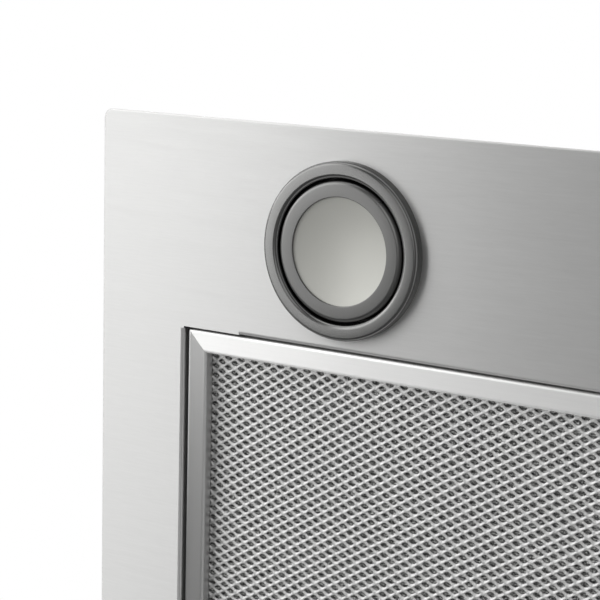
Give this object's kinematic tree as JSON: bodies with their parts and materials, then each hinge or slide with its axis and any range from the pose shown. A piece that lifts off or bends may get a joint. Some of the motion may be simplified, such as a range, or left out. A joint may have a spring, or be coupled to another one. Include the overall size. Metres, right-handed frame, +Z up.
{
  "type": "built-in range hood",
  "caption": "Built-in cabinet range hood: brushed steel plate with round lamps, push buttons and a drop-down mesh grease filter, over a blower with a duct collar.",
  "frame": {"origin": "middle of the base plate's upper face, which lies against the underside of the cabinet", "axes": "+X to the right seen from the front, +Y to the rear (wall), +Z up into the cabinet"},
  "size_m": [0.53, 0.3, 0.2443],
  "materials": {
    "brushed_plate": "fine brushing from side to side",
    "lamp_trim": "satin dark grey",
    "lamp_glass": "frosted",
    "heat_sink": "black anodised",
    "circuit_board": "white solder mask",
    "spring_steel": "rolled spring steel",
    "filter_frame": "brushed along each bar",
    "filter_mesh": "expanded aluminium sheet",
    "latch_plastic": "fine grain",
    "casing_sheet": "galvanised sheet",
    "fastener_steel": "plated",
    "scroll_plastic": "moulded",
    "motor_steel": "plated steel",
    "rubber_bush": "moulded",
    "collar_plastic": "moulded",
    "control_plastic": "fine grain",
    "button_plastic": "satin",
    "wiring_plastic": "moulded",
    "capacitor_plastic": "moulded"
  },
  "bodies": {
    "hood": {"base_plate": "brushed_plate", "lamp_bezel_left": "lamp_trim", "lamp_ring_left": "lamp_trim", "lamp_lens_left": "lamp_glass", "lamp_body_left": "heat_sink", "lamp_bezel_right": "lamp_trim", "lamp_ring_right": "lamp_trim", "lamp_lens_right": "lamp_glass", "lamp_body_right": "heat_sink", "lamp_boards": "circuit_board", "lamp_clips": "spring_steel", "filter_brackets": "spring_steel", "fixing_clips": "spring_steel", "casing_front": "casing_sheet", "casing_rear": "casing_sheet", "casing_right": "casing_sheet", "casing_left": "casing_sheet", "casing_deck": "casing_sheet", "blower_box_front": "casing_sheet", "blower_box_rear": "casing_sheet", "blower_box_right": "casing_sheet", "blower_box_left": "casing_sheet", "blower_box_top": "casing_sheet", "panel_rivets": "fastener_steel", "collar_screws": "fastener_steel", "damper_axle": "fastener_steel", "scroll_left": "scroll_plastic", "scroll_right": "scroll_plastic", "motor": "motor_steel", "motor_bracket": "motor_steel", "motor_grommets": "rubber_bush", "outlet_collar": "collar_plastic", "control_bezel": "control_plastic", "switch_block": "control_plastic", "wiring_box": "wiring_plastic", "wiring_lid": "wiring_plastic", "cable_gland": "wiring_plastic", "capacitor": "capacitor_plastic"},
    "filter": {"filter_bar_front": "filter_frame", "filter_bar_rear": "filter_frame", "filter_bar_right": "filter_frame", "filter_bar_left": "filter_frame", "filter_mesh_front": "filter_mesh", "filter_core": "filter_mesh", "filter_mesh_back": "filter_mesh", "filter_pins": "spring_steel", "latch_housing": "latch_plastic"},
    "filter_latch": {"latch_slider": "latch_plastic"},
    "impeller": {"impeller_disc": "scroll_plastic", "impeller_blades": "scroll_plastic", "impeller_rings": "scroll_plastic", "motor_shaft": "fastener_steel"},
    "damper_flap_rear": {"damper_flap_rear": "collar_plastic"},
    "damper_flap_front": {"damper_flap_front": "collar_plastic"},
    "button_lamp": {"button_lamp": "button_plastic"},
    "button_off": {"button_off": "button_plastic"},
    "button_speed_1": {"button_speed_1": "button_plastic"},
    "button_speed_2": {"button_speed_2": "button_plastic"},
    "button_speed_3": {"button_speed_3": "button_plastic"}
  },
  "joints": [
    {"name": "filter_drop", "type": "hinge", "parent": "hood", "child": "filter", "pos_m": [0, 0.1048, 0.0036], "axis": [1, 0, 0], "range_deg": [0, 70]},
    {"name": "latch_slide", "type": "slide", "parent": "filter", "child": "filter_latch", "axis": [0, 1, 0], "range_m": [-0.0045, 0.0025], "stiffness_N_per_m": 300, "springref_m": -0.0045},
    {"name": "impeller_spin", "type": "hinge", "parent": "hood", "child": "impeller", "pos_m": [0, -0.032, 0.118], "axis": [1, 0, 0], "continuous": true},
    {"name": "flap_rear_lift", "type": "hinge", "parent": "hood", "child": "damper_flap_rear", "pos_m": [0, 0.008, 0.2045], "axis": [1, 0, 0], "range_deg": [0, 75]},
    {"name": "flap_front_lift", "type": "hinge", "parent": "hood", "child": "damper_flap_front", "pos_m": [0, 0.008, 0.2045], "axis": [-1, 0, 0], "range_deg": [0, 75]},
    {"name": "press_lamp", "type": "slide", "parent": "hood", "child": "button_lamp", "axis": [0, 0, 1], "range_m": [0, 0.002], "stiffness_N_per_m": 400, "springref_m": -0.001},
    {"name": "press_off", "type": "slide", "parent": "hood", "child": "button_off", "axis": [0, 0, 1], "range_m": [0, 0.002], "stiffness_N_per_m": 400, "springref_m": -0.001},
    {"name": "press_speed_1", "type": "slide", "parent": "hood", "child": "button_speed_1", "axis": [0, 0, 1], "range_m": [0, 0.002], "stiffness_N_per_m": 400, "springref_m": -0.001},
    {"name": "press_speed_2", "type": "slide", "parent": "hood", "child": "button_speed_2", "axis": [0, 0, 1], "range_m": [0, 0.002], "stiffness_N_per_m": 400, "springref_m": -0.001},
    {"name": "press_speed_3", "type": "slide", "parent": "hood", "child": "button_speed_3", "axis": [0, 0, 1], "range_m": [0, 0.002], "stiffness_N_per_m": 400, "springref_m": -0.001}
  ]
}
